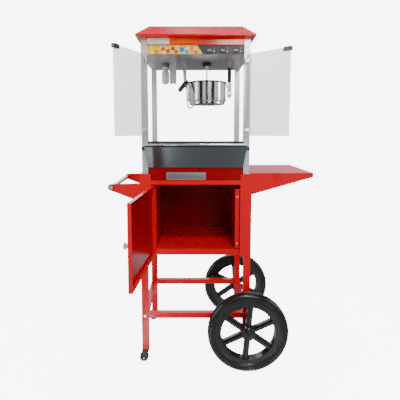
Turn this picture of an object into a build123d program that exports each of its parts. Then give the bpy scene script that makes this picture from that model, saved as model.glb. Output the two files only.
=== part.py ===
from build123d import *
import os

# Popcorn cart: a sheet-metal cart on two large wheels and two casters, with a popping machine on top.
# Drawn with X to the right (0 on the cart's centre line), Y to the back (0 on the front legs' front
# faces) and Z up from the floor. Every piece is moved to the row's origin when it is written.

# ---- driving dimensions, millimetres ----
cart_width = 492.0          # over the legs
cart_depth = 393.0
sheet = 1.5                 # folded cart and machine sheet
leg_tube = 30.0
leg_wall = 1.5
rail_tube = 25.0
rail_wall = 1.5
rail_bottom = 212.0
wheel_radius = 178.5
wheel_width = 45.0
axle_radius = 6.0
axle_stand_off = 27.5       # leg face to wheel
caster_radius = 20.0
caster_width = 20.0
caster_height = 62.0
caster_trail = 8.0
cabinet_bottom = 505.0
cabinet_top = 876.0
column_width = 50.5
floor_lip = 28.0
deck_height = 847.0
rail_front_height = 19.0
liner_half = 176.0
door_top = 826.0
door_bottom = 516.0
door_thick = 15.0
door_open_angle = 95.0      # how far the cabinet door stands open at rest
hinge_pin_radius = 2.5
knuckle_radius = 4.0
shelf_reach = 271.0
shelf_root = 96.0
shelf_tip = 18.0
bar_reach = 128.0           # cart side to push bar centre
bar_radius = 10.0
bracket_root = 82.0
bracket_top = 834.0
post_width = 26.5
post_depth = 28.0
machine_half = 235.5
machine_top = 1460.0
base_top = 905.0
ceiling_height = 1391.0
pane_thick = 4.0
drawer_left = -129.0
drawer_right = 45.0
drawer_depth = 296.0
drawer_face = 34.0
trough_lean = 53.0
trough_top = 997.0
trough_flare = 9.0
glass_width = 200.0
glass_bottom = 1044.0
glass_top = 1388.0
glass_hinge_x = 214.0
glass_edge = 6.5            # hinge pin centre to the glass
left_glass_angle = 117.0    # how far each glass door stands open at rest
right_glass_angle = 138.0
kettle_x = 54.0
kettle_y = 190.0
kettle_radius = 91.5
kettle_bottom = 1204.0
kettle_rim = 1296.0
kettle_wall = 1.5
rim_flare = 2.0
pivot_height = 1280.0
trunnion_radius = 5.0
stirrer_radius = 4.0
cap_radius = 20.0
cap_height = 14.0
roof_front = -37.0
roof_back = 430.0
roof_half = 253.0
roof_height = 63.0
roof_top_half = 205.0
roof_top_front = 53.0
roof_top_back = 340.0
switch_spots = (59.0, 116.0, 172.5)
band_bottom = 1430.0

# ---- clearances ----
running = 0.05              # radial, pins and shafts in their bores
gap = 0.5                   # between pieces that pass each other
face_gap = 1.0              # between the door and its frame, and the two halves of the stirrer drive

# ---- places that follow from them ----
half = cart_width / 2
leg_centre = half - leg_tube / 2
front_leg = leg_tube / 2
rear_leg = cart_depth - leg_tube / 2
outer = half + sheet
opening_half = outer - column_width
rail_centre = rail_bottom + rail_tube / 2
post_inner = machine_half - post_width
post_centre = machine_half - post_width / 2
tray_half = post_inner - sheet
pieces = {}


def keep(name, piece):
    """Notes a finished piece under its own name."""
    piece.part.label = name
    pieces[name] = piece


# ---- legs, rails and plugs ----
with BuildPart() as frame_legs:
    with BuildSketch(Plane.XY.offset(caster_height)):
        with Locations((-leg_centre, front_leg), (-leg_centre, rear_leg)):
            Rectangle(leg_tube, leg_tube)
            Rectangle(leg_tube - 2 * leg_wall, leg_tube - 2 * leg_wall, mode=Mode.SUBTRACT)
    extrude(amount=cabinet_top - sheet - caster_height)
    with BuildSketch(Plane.XY.offset(wheel_radius - leg_tube)):
        with Locations((leg_centre, front_leg), (leg_centre, rear_leg)):
            Rectangle(leg_tube, leg_tube)
            Rectangle(leg_tube - 2 * leg_wall, leg_tube - 2 * leg_wall, mode=Mode.SUBTRACT)
    extrude(amount=cabinet_top - sheet - wheel_radius + leg_tube)
    with BuildSketch(Plane.XZ.offset(-cart_depth - gap)):
        with Locations((leg_centre, wheel_radius)):
            Circle(axle_radius)
    extrude(amount=cart_depth + 2 * gap, mode=Mode.SUBTRACT)
keep("frame_legs", frame_legs)

with BuildPart() as lower_rails:
    for y in (front_leg, rear_leg):
        with BuildSketch(Plane.YZ.offset(-leg_centre + leg_tube / 2)):
            with Locations((y, rail_centre)):
                Rectangle(rail_tube, rail_tube)
                Rectangle(rail_tube - 2 * rail_wall, rail_tube - 2 * rail_wall, mode=Mode.SUBTRACT)
        extrude(amount=2 * leg_centre - leg_tube)
    for x in (-leg_centre, leg_centre):
        with BuildSketch(Plane.XZ.offset(-rear_leg + leg_tube / 2)):
            with Locations((x, rail_centre)):
                Rectangle(rail_tube, rail_tube)
                Rectangle(rail_tube - 2 * rail_wall, rail_tube - 2 * rail_wall, mode=Mode.SUBTRACT)
        extrude(amount=rear_leg - front_leg - leg_tube)
keep("lower_rails", lower_rails)

plug_depth = 20.0
stem_radius = 5.0
inner_tube = leg_tube - 2 * leg_wall
with BuildPart() as leg_plugs:
    with BuildSketch(Plane.XY.offset(caster_height)):
        with Locations((-leg_centre, front_leg), (-leg_centre, rear_leg)):
            Rectangle(inner_tube, inner_tube)
            Circle(stem_radius + running, mode=Mode.SUBTRACT)
    extrude(amount=plug_depth)
    with BuildSketch(Plane.XY.offset(wheel_radius - leg_tube)):
        with Locations((leg_centre, front_leg), (leg_centre, rear_leg)):
            Rectangle(inner_tube, inner_tube)
    extrude(amount=plug_depth / 2)
    with BuildSketch(Plane.XY.offset(wheel_radius - leg_tube)):
        with Locations((leg_centre, front_leg), (leg_centre, rear_leg)):
            RectangleRounded(leg_tube, leg_tube, 2)
    extrude(amount=-3)
keep("leg_plugs", leg_plugs)

# ---- axle, wheels and casters ----
front_wheel_y = -axle_stand_off - wheel_width / 2
rear_wheel_y = cart_depth + axle_stand_off + wheel_width / 2
axle_end = axle_stand_off + wheel_width + 4
collar_radius = 12.0
with BuildPart() as wheel_axle:
    with BuildSketch(Plane.XZ.offset(axle_end)):
        with Locations((leg_centre, wheel_radius)):
            Circle(axle_radius)
    extrude(amount=-(cart_depth + 2 * axle_end))
    for start in (axle_stand_off - face_gap, -cart_depth):
        with BuildSketch(Plane.XZ.offset(start)):
            with Locations((leg_centre, wheel_radius)):
                Circle(collar_radius)
        extrude(amount=-(axle_stand_off - face_gap))
keep("wheel_axle", wheel_axle)

rim_radius = 145.0
window_radius = 120.0
hub_radius = 30.0
spoke_width = 25.0
rib_width = 9.0
tyre_round = 12.0           # shoulder of the tread
rim_step = 4.0              # rim sides below the tyre sides
spoke_root = 7.0            # how far a spoke runs into the rim and hub
rib_root = 4.0
web_half = 8.0              # half thickness of the spokes
rib_half = 15.0             # half thickness over the ribs
hub_cap = 12.0
hub_cap_step = 4.0
blind_end = 4.5             # the bore stops this far past the hub, in the cap
spoke_count = 6
window_corner = 9.0


def wheel_pieces(centre_y, outward, spoke_angle):
    """Tyre and spoked rim of one wheel; outward is -1 at the front and 1 at the back."""
    face = Plane.XZ.offset(-centre_y)
    with BuildPart() as tyre:
        with BuildSketch(face):
            with Locations((leg_centre, wheel_radius)):
                Circle(wheel_radius)
                Circle(rim_radius, mode=Mode.SUBTRACT)
        extrude(amount=wheel_width / 2, both=True)
        fillet(tyre.edges().filter_by(GeomType.CIRCLE).group_by(SortBy.RADIUS)[-1], tyre_round)
    with BuildPart() as rim:
        with BuildSketch(face):
            with Locations((leg_centre, wheel_radius)):
                Circle(rim_radius)
                Circle(window_radius, mode=Mode.SUBTRACT)
        extrude(amount=wheel_width / 2 - rim_step, both=True)
        with BuildSketch(face) as web:
            with Locations((leg_centre, wheel_radius)):
                Circle(rim_radius - rim_step)
                Circle(window_radius, mode=Mode.SUBTRACT)
                Circle(hub_radius)
                with PolarLocations((window_radius + hub_radius) / 2, spoke_count, spoke_angle):
                    Rectangle(window_radius - hub_radius + 2 * spoke_root, spoke_width)
            centre = Vector(leg_centre, wheel_radius)
            reach = (hub_radius + face_gap, window_radius + rim_step)
            corners = [v for v in web.vertices() if reach[0] < (Vector(v) - centre).length < reach[1]]
            fillet(corners, window_corner)
        extrude(amount=web_half, both=True)
        with BuildSketch(face):
            with Locations((leg_centre, wheel_radius)):
                Circle(hub_radius)
                with PolarLocations((window_radius + hub_radius) / 2, spoke_count, spoke_angle):
                    Rectangle(window_radius - hub_radius + 2 * rib_root, rib_width)
        extrude(amount=rib_half, both=True)
        with BuildSketch(face):
            with Locations((leg_centre, wheel_radius)):
                Circle(hub_radius)
        extrude(amount=wheel_width / 2, both=True)
        with BuildSketch(face.offset(-outward * wheel_width / 2)):
            with Locations((leg_centre, wheel_radius)):
                Circle(hub_radius - hub_cap_step)
        extrude(amount=-outward * hub_cap, taper=15)
        with BuildSketch(face.offset(outward * wheel_width / 2)):
            with Locations((leg_centre, wheel_radius)):
                Circle(axle_radius + running)
        extrude(amount=-outward * (wheel_width + blind_end), mode=Mode.SUBTRACT)
    return tyre, rim


front_tyre, front_rim = wheel_pieces(front_wheel_y, -1, 25)
rear_tyre, rear_rim = wheel_pieces(rear_wheel_y, 1, 35)
keep("front_tyre", front_tyre)
keep("front_rim", front_rim)
keep("rear_tyre", rear_tyre)
keep("rear_rim", rear_rim)

fork_inside = caster_width + 2 * gap
fork_plate = 2.5
fork_cap_radius = 17.0
fork_cap = 8.0
fork_drop = 6.0             # legs of the fork below its cap
roller_round = 4.0
roller_pin = 3.0
pin_head = 2.0
roller_clear = 3.0


def caster_pieces(stem_y):
    """Fork with its stem and axle pin, and the small wheel, under one left leg."""
    wheel_x = -leg_centre - caster_trail
    with BuildPart() as fork:
        with BuildSketch(Plane.XY.offset(caster_height - gap)):
            with Locations((-leg_centre, stem_y)):
                Circle(stem_radius)
        extrude(amount=plug_depth - 1)
        with BuildSketch(Plane.XY.offset(caster_height - gap)):
            with Locations((-leg_centre, stem_y)):
                Circle(fork_cap_radius)
        extrude(amount=-fork_cap)
        with BuildSketch(Plane.XZ.offset(-stem_y)):
            with BuildLine():
                Polyline((-leg_centre + 15, caster_height - fork_drop),
                         (-leg_centre - 17, caster_height - fork_drop),
                         (wheel_x - 8, caster_radius - 5), (wheel_x + 8, caster_radius - 5), close=True)
            make_face()
        extrude(amount=fork_inside / 2 + fork_plate, both=True)
        with BuildSketch(Plane.XZ.offset(-stem_y)):
            with Locations((wheel_x, (2 * caster_radius + roller_clear - 20) / 2)):
                Rectangle(4 * caster_radius, 2 * caster_radius + roller_clear + 20)
        extrude(amount=fork_inside / 2, both=True, mode=Mode.SUBTRACT)
        with BuildSketch(Plane.XZ.offset(-stem_y)):
            with Locations((wheel_x, caster_radius)):
                Circle(roller_pin)
        extrude(amount=fork_inside / 2 + fork_plate + pin_head, both=True)
    with BuildPart() as roller:
        with BuildSketch(Plane.XZ.offset(-stem_y)):
            with Locations((wheel_x, caster_radius)):
                Circle(caster_radius)
                Circle(roller_pin + running, mode=Mode.SUBTRACT)
        extrude(amount=caster_width / 2, both=True)
        fillet(roller.edges().filter_by(GeomType.CIRCLE).group_by(SortBy.RADIUS)[-1], roller_round)
    return fork, roller


front_caster_fork, front_caster_wheel = caster_pieces(front_leg)
rear_caster_fork, rear_caster_wheel = caster_pieces(rear_leg)
keep("front_caster_fork", front_caster_fork)
keep("front_caster_wheel", front_caster_wheel)
keep("rear_caster_fork", rear_caster_fork)
keep("rear_caster_wheel", rear_caster_wheel)

# ---- cabinet ----
cabinet_back = cart_depth + sheet
column_return = 14.0
with BuildPart() as cabinet_shell:
    with BuildSketch(Plane.XY.offset(cabinet_bottom)):
        with Locations((0, (cabinet_back - sheet) / 2)):
            Rectangle(2 * outer, cabinet_back + sheet)
            Rectangle(2 * half, cabinet_back - sheet, mode=Mode.SUBTRACT)
        with Locations((0, -sheet)):
            Rectangle(2 * opening_half, 4 * sheet, mode=Mode.SUBTRACT)
    extrude(amount=cabinet_top - sheet - cabinet_bottom)
    with BuildSketch(Plane.XY.offset(cabinet_bottom)):
        for side in (-1, 1):
            with Locations((side * (opening_half + sheet / 2), column_return / 2 - sheet)):
                Rectangle(sheet, column_return)
    extrude(amount=deck_height - sheet - cabinet_bottom)
keep("cabinet_shell", cabinet_shell)

lip_front = door_thick - sheet + face_gap
floor_top = cabinet_bottom + floor_lip
with BuildPart() as cabinet_floor:
    with BuildSketch(Plane.XY.offset(floor_top - sheet)):
        with Locations((0, (cart_depth + lip_front) / 2)):
            Rectangle(2 * half, cart_depth - lip_front)
        for y in (front_leg, rear_leg):
            with Locations((-leg_centre, y), (leg_centre, y)):
                Rectangle(leg_tube, leg_tube, mode=Mode.SUBTRACT)
    extrude(amount=sheet)
    with BuildSketch(Plane.XY.offset(cabinet_bottom)):
        with Locations((0, lip_front + sheet / 2)):
            Rectangle(2 * opening_half, sheet)
    extrude(amount=floor_lip)
keep("cabinet_floor", cabinet_floor)

with BuildPart() as cabinet_deck:
    with BuildSketch(Plane.XY.offset(deck_height - sheet)):
        with Locations((0, cart_depth / 2)):
            Rectangle(2 * post_inner, cart_depth)
    extrude(amount=sheet)
    with BuildSketch(Plane.XY.offset(deck_height - rail_front_height)):
        with Locations((0, -sheet / 2)):
            Rectangle(2 * opening_half, sheet)
    extrude(amount=rail_front_height)
    with BuildSketch(Plane.XY.offset(deck_height - sheet)):
        with Locations((0, 0)):
            Rectangle(2 * opening_half, 2 * sheet)
    extrude(amount=sheet)
    with BuildSketch(Plane.XY.offset(deck_height)):
        for side in (-1, 1):
            with Locations((side * (post_inner - sheet / 2), cart_depth / 2)):
                Rectangle(sheet, cart_depth)
    extrude(amount=cabinet_top - deck_height)
    with BuildSketch(Plane.XY.offset(cabinet_top - sheet)):
        for side in (-1, 1):
            with Locations((side * (outer + tray_half) / 2, (cabinet_back - sheet) / 2)):
                Rectangle(outer - tray_half, cabinet_back + sheet)
    extrude(amount=sheet)
keep("cabinet_deck", cabinet_deck)

with BuildPart() as side_liners:
    for side in (-1, 1):
        with BuildSketch(Plane.XY.offset(floor_top)):
            with Locations((side * (liner_half + sheet / 2), (cart_depth + lip_front) / 2)):
                Rectangle(sheet, cart_depth - lip_front)
        extrude(amount=deck_height - sheet - floor_top)
        with BuildSketch(Plane.XZ.offset(-lip_front)):
            with Locations((side * (liner_half + opening_half) / 2, (floor_top + door_top - 15) / 2)):
                Rectangle(opening_half - liner_half, door_top - 15 - floor_top - 8)
        extrude(amount=-sheet)
keep("side_liners", side_liners)

# ---- cabinet door, drawn shut and then swung to where it rests ----
door_axis = (-opening_half, -sheet - knuckle_radius)
door_left = -opening_half + face_gap
door_right = opening_half - 3.5
leaf_thick = 2.0
door_middle = (door_left + door_right) / 2
door_height = door_top - door_bottom
door_centre_z = (door_top + door_bottom) / 2
knuckle_spots = (door_bottom + 45, door_top - 45)
leaf_width = 22.0
knuckle_length = 16.0
door_pivot = Location((door_axis[0], door_axis[1], 0))


def swung(shape, pivot, degrees):
    """A shape turned about the upright line through pivot."""
    return pivot * Rotation(0, 0, degrees) * pivot.inverse() * shape


with BuildPart() as shut_door:
    with BuildSketch(Plane.XZ.offset(sheet)):
        with Locations((door_middle, door_centre_z)):
            Rectangle(door_right - door_left, door_height)
    extrude(amount=-door_thick)
    with BuildSketch(Plane.XZ):
        with Locations((door_middle, door_centre_z)):
            Rectangle(door_right - door_left - 2 * sheet, door_height - 2 * sheet)
    extrude(amount=-door_thick, mode=Mode.SUBTRACT)
    for z in knuckle_spots:
        with BuildSketch(Plane.XZ.offset(sheet)):
            with Locations((door_axis[0] + leaf_width / 2 + knuckle_radius, z)):
                Rectangle(leaf_width, 2 * knuckle_length)
        extrude(amount=leaf_thick)
        with BuildSketch(Plane.XY.offset(z + gap / 2)):
            with Locations(door_axis):
                Circle(knuckle_radius)
            with Locations((door_axis[0] + knuckle_radius, door_axis[1] + knuckle_radius - leaf_thick / 2)):
                Rectangle(2 * knuckle_radius, leaf_thick)
            with Locations(door_axis):
                Circle(hinge_pin_radius + running, mode=Mode.SUBTRACT)
        extrude(amount=knuckle_length)
with BuildPart() as cabinet_door:
    add(swung(shut_door.part, door_pivot, -door_open_angle))
keep("cabinet_door", cabinet_door)

with BuildPart() as cabinet_hinges:
    for z in knuckle_spots:
        with BuildSketch(Plane.XZ.offset(sheet)):
            with Locations((door_axis[0] - leaf_width / 2 - knuckle_radius, z)):
                Rectangle(leaf_width, 2 * knuckle_length)
        extrude(amount=leaf_thick)
        with BuildSketch(Plane.XY.offset(z - gap / 2)):
            with Locations(door_axis):
                Circle(knuckle_radius)
            with Locations((door_axis[0] - knuckle_radius, door_axis[1] + knuckle_radius - leaf_thick / 2)):
                Rectangle(2 * knuckle_radius, leaf_thick)
        extrude(amount=-knuckle_length)
        with BuildSketch(Plane.XY.offset(z - gap)):
            with Locations(door_axis):
                Circle(hinge_pin_radius)
        extrude(amount=knuckle_length + 3)
keep("cabinet_hinges", cabinet_hinges)

pull_inset = 30.0
pull_neck = 7.0
pull_knob = 12.0
pull_reach = 14.0
pull_head = 8.0
with BuildPart() as shut_pull:
    with BuildSketch(Plane.XZ.offset(sheet)):
        with Locations((door_right - pull_inset, door_centre_z)):
            Circle(pull_neck)
    extrude(amount=pull_reach)
    with BuildSketch(Plane.XZ.offset(sheet + pull_reach)):
        with Locations((door_right - pull_inset, door_centre_z)):
            Circle(pull_knob)
    extrude(amount=pull_head)
    fillet(shut_pull.faces().sort_by(Axis.Y)[0].edges(), 3)
with BuildPart() as door_pull:
    add(swung(shut_pull.part, door_pivot, -door_open_angle))
keep("door_pull", door_pull)

# ---- side shelf, push handle and bolts ----
shelf_top = cabinet_top + 4
shelf_window = (60.0, 40.0)  # what is left round the opening in the shelf's root flange
with BuildPart() as side_shelf:
    with BuildSketch(Plane.XY.offset(shelf_top - sheet)):
        with Locations((outer + shelf_reach / 2, cart_depth / 2)):
            Rectangle(shelf_reach, cart_depth)
    extrude(amount=sheet)
    for y in (0, cart_depth):
        inward = -1 if y == 0 else 1
        with BuildSketch(Plane.XZ.offset(-y)):
            with BuildLine():
                Polyline((outer, shelf_top), (outer + shelf_reach, shelf_top),
                         (outer + shelf_reach, shelf_top - shelf_tip), (outer, shelf_top - shelf_root),
                         close=True)
            make_face()
        extrude(amount=inward * sheet)
    with BuildSketch(Plane.YZ.offset(outer + shelf_reach)):
        with Locations((cart_depth / 2, shelf_top - shelf_tip / 2)):
            Rectangle(cart_depth, shelf_tip)
    extrude(amount=-sheet)
    with BuildSketch(Plane.YZ.offset(outer)):
        with Locations((cart_depth / 2, shelf_top - shelf_root / 2)):
            Rectangle(cart_depth, shelf_root)
        with Locations((cart_depth / 2, shelf_top - shelf_root / 2)):
            Rectangle(cart_depth - shelf_window[0], shelf_root - shelf_window[1], mode=Mode.SUBTRACT)
    extrude(amount=sheet)
keep("side_shelf", side_shelf)

bar_x = -half - bar_reach
bar_z = bracket_top - 18
bracket_tip = 15.0
bracket_sheet = 2.0
bracket_flange = 26.0
bar_bore = 4.0
with BuildPart() as handle_brackets:
    for y, inward in ((0, -1), (cart_depth, 1)):
        with BuildSketch(Plane.XZ.offset(-y)):
            with BuildLine():
                Polyline((-outer, bracket_top), (bar_x, bar_z + bracket_tip),
                         (bar_x, bar_z - bracket_tip), (-outer, bracket_top - bracket_root), close=True)
            make_face()
            with Locations((bar_x, bar_z)):
                Circle(bracket_tip)
                Circle(bar_bore, mode=Mode.SUBTRACT)
        extrude(amount=inward * bracket_sheet)
        with BuildSketch(Plane.YZ.offset(-outer)):
            with Locations((y - inward * bracket_flange / 2, bracket_top - bracket_root / 2)):
                Rectangle(bracket_flange, bracket_root)
        extrude(amount=-bracket_sheet)
keep("handle_brackets", handle_brackets)

with BuildPart() as push_bar:
    with BuildSketch(Plane.XZ.offset(-bracket_sheet)):
        with Locations((bar_x, bar_z)):
            Circle(bar_radius)
            Circle(bar_bore, mode=Mode.SUBTRACT)
    extrude(amount=-(cart_depth - 2 * bracket_sheet))
keep("push_bar", push_bar)

head = 6.0
head_height = 4.0
bar_head = 9.0
bar_head_height = 5.0
bolt_rise = 22.0            # wheel-side bolts above the rail's centre
flange_bolt = 4.5
flange_bolt_inset = 11.0
flange_bolt_z = (cabinet_bottom + 53, door_top - 55)
with BuildPart() as cart_bolts:
    with BuildSketch(Plane.XZ):
        with Locations((-leg_centre, rail_centre)):
            RegularPolygon(head, 6)
    extrude(amount=head_height)
    with BuildSketch(Plane.XZ.offset(-cart_depth)):
        with Locations((-leg_centre, rail_centre), (leg_centre, rail_centre + bolt_rise)):
            RegularPolygon(head, 6)
    extrude(amount=-head_height)
    with BuildSketch(Plane.XZ):
        with Locations((leg_centre, rail_centre + bolt_rise)):
            RegularPolygon(head, 6)
    extrude(amount=head_height)
    for side in (-1, 1):
        with BuildSketch(Plane.XZ.offset(-lip_front)):
            with Locations((side * (liner_half + flange_bolt_inset), flange_bolt_z[0]),
                           (side * (liner_half + flange_bolt_inset), flange_bolt_z[1])):
                Circle(flange_bolt)
        extrude(amount=face_gap - gap / 2)
    with BuildSketch(Plane.XZ):
        with Locations((bar_x, bar_z)):
            RegularPolygon(bar_head, 6)
    extrude(amount=bar_head_height)
    with BuildSketch(Plane.XZ.offset(-cart_depth)):
        with Locations((bar_x, bar_z)):
            RegularPolygon(bar_head, 6)
    extrude(amount=-bar_head_height)
keep("cart_bolts", cart_bolts)

# ---- machine frame: posts, base, floor, sill, trough ----
post_rear = cart_depth - post_depth
with BuildPart() as corner_posts:
    with BuildSketch(Plane.XY.offset(cabinet_top)):
        with Locations((-post_centre, post_depth / 2), (post_centre, post_depth / 2),
                       (-post_centre, post_rear + post_depth / 2), (post_centre, post_rear + post_depth / 2)):
            Rectangle(post_width, post_depth)
            Rectangle(post_width - 2 * sheet, post_depth - 2 * sheet, mode=Mode.SUBTRACT)
    extrude(amount=machine_top - cabinet_top)
keep("corner_posts", corner_posts)

base_half = tray_half - face_gap
base_front = 4.0
base_back = post_rear - face_gap
drawer_x = (drawer_left + drawer_right) / 2
drawer_width = drawer_right - drawer_left
drawer_low = deck_height + 2
runner_height = 2.3
runner_width = 8.0
runner_inset = 12.0
drawer_floor = deck_height + sheet + runner_height + gap / 2
drawer_side = drawer_face - 8
drawer_sheet = 1.0
drawer_sides = drawer_width - 8
front_thick = 2.5
front_clear = 0.3
front_lap = 0.1
cut_margin = (6.0, 4.0)
with BuildPart() as machine_base:
    with BuildSketch(Plane.XY.offset(deck_height)):
        with Locations((0, (base_front + base_back) / 2)):
            Rectangle(2 * base_half, base_back - base_front)
    extrude(amount=base_top - deck_height)
    with BuildSketch(Plane.XY.offset(deck_height + sheet)):
        with Locations((0, (base_front + base_back) / 2)):
            Rectangle(2 * base_half - 2 * sheet, base_back - base_front - 2 * sheet)
    extrude(amount=base_top - deck_height, mode=Mode.SUBTRACT)
    with BuildSketch(Plane.XZ.offset(-base_front + face_gap)):
        with Locations((drawer_x, drawer_low + drawer_face / 2)):
            Rectangle(drawer_width - cut_margin[0], drawer_face - cut_margin[1])
    extrude(amount=-(sheet + 2 * face_gap), mode=Mode.SUBTRACT)
    for side in (-1, 1):
        with BuildSketch(Plane.XZ.offset(-base_front)):
            with Locations((drawer_x + side * (drawer_width / 2 - runner_inset),
                            deck_height + sheet + runner_height / 2)):
                Rectangle(runner_width, runner_height)
        extrude(amount=-drawer_depth)
keep("machine_base", machine_base)

with BuildPart() as crumb_drawer:
    with BuildSketch(Plane.XY.offset(drawer_floor)):
        with Locations((drawer_x, base_front + drawer_depth / 2)):
            Rectangle(drawer_sides, drawer_depth)
    extrude(amount=drawer_side)
    with BuildSketch(Plane.XY.offset(drawer_floor + drawer_sheet)):
        with Locations((drawer_x, base_front + drawer_depth / 2)):
            Rectangle(drawer_sides - 2 * drawer_sheet, drawer_depth - 2 * drawer_sheet)
    extrude(amount=drawer_side, mode=Mode.SUBTRACT)
    with BuildSketch(Plane.XZ.offset(-base_front + front_clear)):
        with Locations((drawer_x, drawer_low + drawer_face / 2)):
            RectangleRounded(drawer_width, drawer_face, 4)
    extrude(amount=front_thick)
    with BuildSketch(Plane.XZ.offset(-base_front - drawer_sheet)):
        with Locations((drawer_x, drawer_floor + drawer_side / 2)):
            Rectangle(drawer_sides, drawer_side)
    extrude(amount=drawer_sheet + front_clear + front_lap)
keep("crumb_drawer", crumb_drawer)

with BuildPart() as base_rails:
    for side in (-1, 1):
        with BuildSketch(Plane.XY.offset(cabinet_top)):
            with Locations((side * post_centre, cart_depth / 2)):
                Rectangle(post_width, post_rear - post_depth)
        extrude(amount=base_top - cabinet_top)
    with BuildSketch(Plane.XY.offset(deck_height)):
        with Locations((0, post_rear + post_depth / 2)):
            Rectangle(2 * tray_half, post_depth)
    extrude(amount=cabinet_top - deck_height)
    with BuildSketch(Plane.XY.offset(cabinet_top)):
        with Locations((0, post_rear + post_depth / 2)):
            Rectangle(2 * post_inner, post_depth)
    extrude(amount=base_top - cabinet_top)
keep("base_rails", base_rails)

pane_x = machine_half - sheet - pane_thick / 2
rear_pane_y = cart_depth - 7
sieve_y = 155.0
sieve_pitch = (13.0, 16.0)
sieve_rows = (12, 15)
sieve_hole = 3.0
with BuildPart() as popping_floor:
    with BuildSketch(Plane.XY.offset(base_top)):
        with Locations((0, (rear_pane_y + face_gap) / 2)):
            Rectangle(2 * post_inner, rear_pane_y - face_gap)
        with Locations((0, cart_depth / 2)):
            Rectangle(2 * (pane_x - pane_thick / 2), post_rear - post_depth)
        with Locations((drawer_x, sieve_y)):
            with GridLocations(*sieve_pitch, *sieve_rows):
                Circle(sieve_hole, mode=Mode.SUBTRACT)
    extrude(amount=sheet)
keep("popping_floor", popping_floor)

trough_back_y = -0.8
bead_width = 5.0
bead_height = 13.0
trough_foot = (post_inner - 1, 0, base_top)
trough_head = (post_inner - 1 + trough_flare, -trough_lean, trough_top)
mirrored_foot = (-trough_foot[0], trough_foot[1], trough_foot[2])
mirrored_head = (-trough_head[0], trough_head[1], trough_head[2])
trough_back = (trough_head[0], trough_back_y, trough_top)
mirrored_back = (-trough_back[0], trough_back_y, trough_top)
with BuildPart() as serving_trough:
    for corners in ((trough_foot, trough_head, mirrored_head, mirrored_foot),
                    (trough_foot, trough_head, trough_back),
                    (mirrored_foot, mirrored_head, mirrored_back)):
        leaf = Face(Wire.make_polygon([Vector(*corner) for corner in corners]))
        extrude(leaf, amount=sheet / 2, both=True)
    with BuildSketch(Plane.YZ.offset(-trough_head[0])):
        with Locations((-trough_lean - 1, trough_top + 5)):
            RectangleRounded(bead_width, bead_height, 2)
    extrude(amount=2 * trough_head[0])
keep("serving_trough", serving_trough)

knob_y = -30.0
knob_drop = 8.0
knob_shank = 4.0
knob_radius = 9.0
knob_start = trough_head[0] + 1.2
with BuildPart() as trough_knobs:
    for side in (-1, 1):
        with BuildSketch(Plane.YZ.offset(side * knob_start)):
            with Locations((knob_y, trough_top - knob_drop)):
                Circle(knob_shank)
        extrude(amount=side * knob_shank)
        with BuildSketch(Plane.YZ.offset(side * (knob_start + knob_shank))):
            with Locations((knob_y, trough_top - knob_drop)):
                Circle(knob_radius)
        extrude(amount=side * knob_radius)
keep("trough_knobs", trough_knobs)

sill_size = 12.0
sill_y = 8.0
sill_z = 1014.0
with BuildPart() as door_sill:
    with BuildSketch(Plane.YZ.offset(-post_inner)):
        with Locations((sill_y, sill_z)):
            RectangleRounded(sill_size, sill_size, 1.5)
    extrude(amount=2 * post_inner)
keep("door_sill", door_sill)

with BuildPart() as chamber_panes:
    with BuildSketch(Plane.XY.offset(base_top)):
        for side in (-1, 1):
            with Locations((side * pane_x, cart_depth / 2)):
                Rectangle(pane_thick, post_rear - post_depth)
    extrude(amount=ceiling_height - base_top)
    with BuildSketch(Plane.XY.offset(base_top)):
        with Locations((0, rear_pane_y + pane_thick / 2)):
            Rectangle(2 * post_inner, pane_thick)
    extrude(amount=ceiling_height - base_top)
keep("chamber_panes", chamber_panes)

# ---- top housing, control panel, band, roof ----
vent_count = 12
vent_pitch = 14.0
vent_width = 5.0
vent_height = 36.0
spindle_clear = 6.0
with BuildPart() as top_housing:
    with BuildSketch(Plane.XY.offset(ceiling_height)):
        with Locations((0, (cart_depth + sheet) / 2)):
            Rectangle(2 * post_inner, cart_depth - sheet)
        with Locations((0, cart_depth / 2)):
            Rectangle(2 * machine_half, post_rear - post_depth)
        with Locations((kettle_x, kettle_y)):
            Circle(spindle_clear, mode=Mode.SUBTRACT)
    extrude(amount=sheet)
    with BuildSketch(Plane.XY.offset(ceiling_height)):
        for side in (-1, 1):
            with Locations((side * (machine_half - sheet / 2), cart_depth / 2)):
                Rectangle(sheet, post_rear - post_depth)
        with Locations((0, cart_depth - sheet / 2)):
            Rectangle(2 * post_inner, sheet)
    extrude(amount=machine_top - ceiling_height)
    with BuildSketch(Plane.XZ.offset(-cart_depth - face_gap)):
        with GridLocations(vent_pitch, 0, vent_count, 1):
            with Locations((0, (ceiling_height + machine_top) / 2)):
                RectangleRounded(vent_width, vent_height, 2)
    extrude(amount=sheet + 2 * face_gap, mode=Mode.SUBTRACT)
keep("top_housing", top_housing)

strip_height = band_bottom - ceiling_height
switch_z = ceiling_height + strip_height / 2
switch_width = 20.0
switch_height = 26.0
bezel_edge = 2.5            # bezel over the cut-out, each side
bezel_wall = 2.0
bezel_depth = 20.0
band_thick = 3.0
with BuildPart() as control_panel:
    with BuildSketch(Plane.XZ):
        with Locations((0, (ceiling_height + machine_top) / 2)):
            Rectangle(2 * post_inner, machine_top - ceiling_height)
        for x in switch_spots:
            with Locations((x, switch_z)):
                Rectangle(switch_width, switch_height, mode=Mode.SUBTRACT)
    extrude(amount=-sheet)
keep("control_panel", control_panel)

with BuildPart() as light_band:
    with BuildSketch(Plane.XZ):
        with Locations((0, (band_bottom + machine_top) / 2)):
            Rectangle(2 * post_inner, machine_top - band_bottom)
    extrude(amount=band_thick)
keep("light_band", light_band)

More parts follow.
